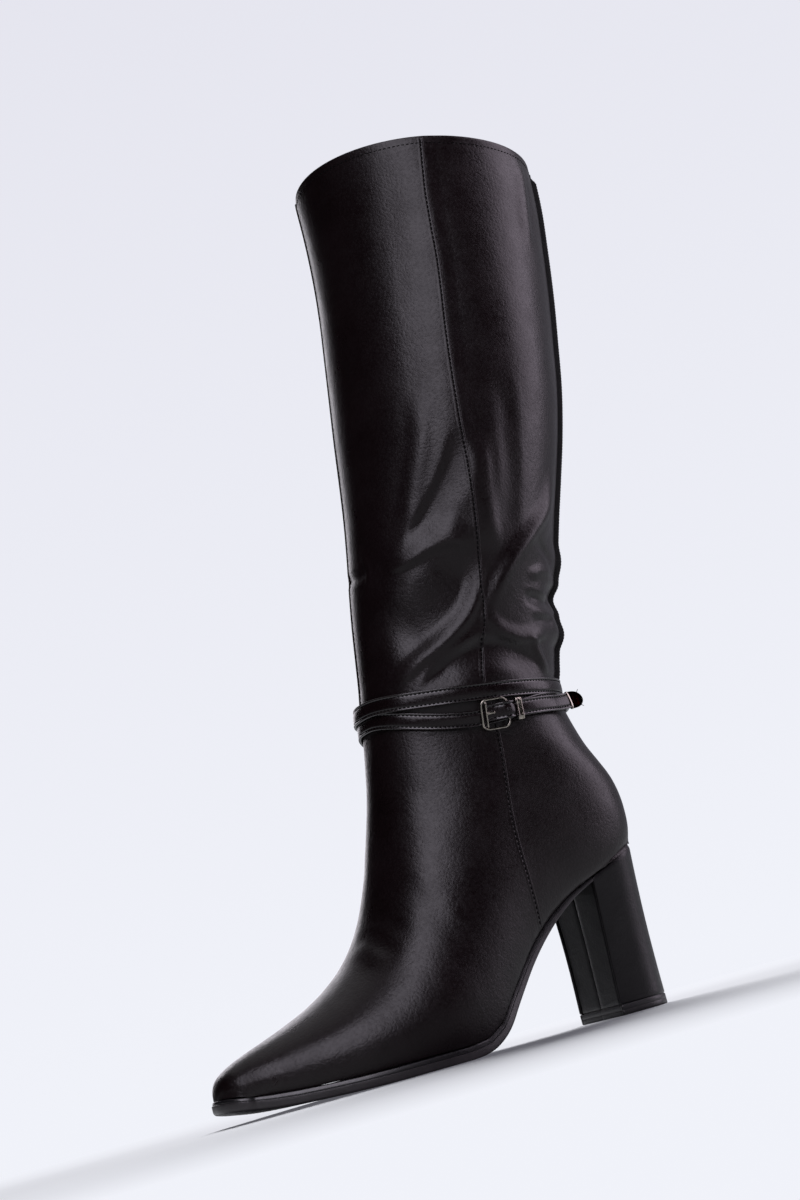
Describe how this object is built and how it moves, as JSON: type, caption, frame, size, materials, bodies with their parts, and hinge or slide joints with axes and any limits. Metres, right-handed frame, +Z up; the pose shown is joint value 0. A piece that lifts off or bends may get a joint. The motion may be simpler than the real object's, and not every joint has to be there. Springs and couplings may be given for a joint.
{
  "type": "knee-high boot",
  "caption": "Left knee-high boot with a hollow shaft, a block heel, an inner side zip and an ankle strap wrapped twice with buckle, keeper and metal tip.",
  "frame": {"origin": "centre of the heel's ground face", "axes": "+Z up the shaft, the toe points to -Y, the outer (lateral) side is +X"},
  "size_m": [0.1193, 0.2909, 0.4531],
  "materials": {
    "black_leather": "satin black faux leather with a fine grain",
    "sole_rubber": "smooth black rubber",
    "insole_fabric": "matte lining cloth",
    "dark_metal": "polished gunmetal"
  },
  "bodies": {
    "boot": {"upper": "black_leather", "shaft": "black_leather", "heel": "black_leather", "strap_upper_turn": "black_leather", "strap_lower_turn": "black_leather", "strap_end": "black_leather", "outsole": "sole_rubber", "heel_top_piece": "sole_rubber", "insole": "insole_fabric", "buckle_frame": "dark_metal", "buckle_prong": "dark_metal", "strap_keeper": "dark_metal", "strap_tip": "dark_metal", "zip_slider": "dark_metal"},
    "zip_pull": {"zip_pull": "dark_metal"}
  },
  "joints": [
    {"name": "zip_pull_hinge", "type": "hinge", "parent": "boot", "child": "zip_pull", "pos_m": [-0.05831, -0.00877, 0.43637], "axis": [-0.2441, 0.9687, -0.0447], "range_deg": [0, 150]}
  ]
}
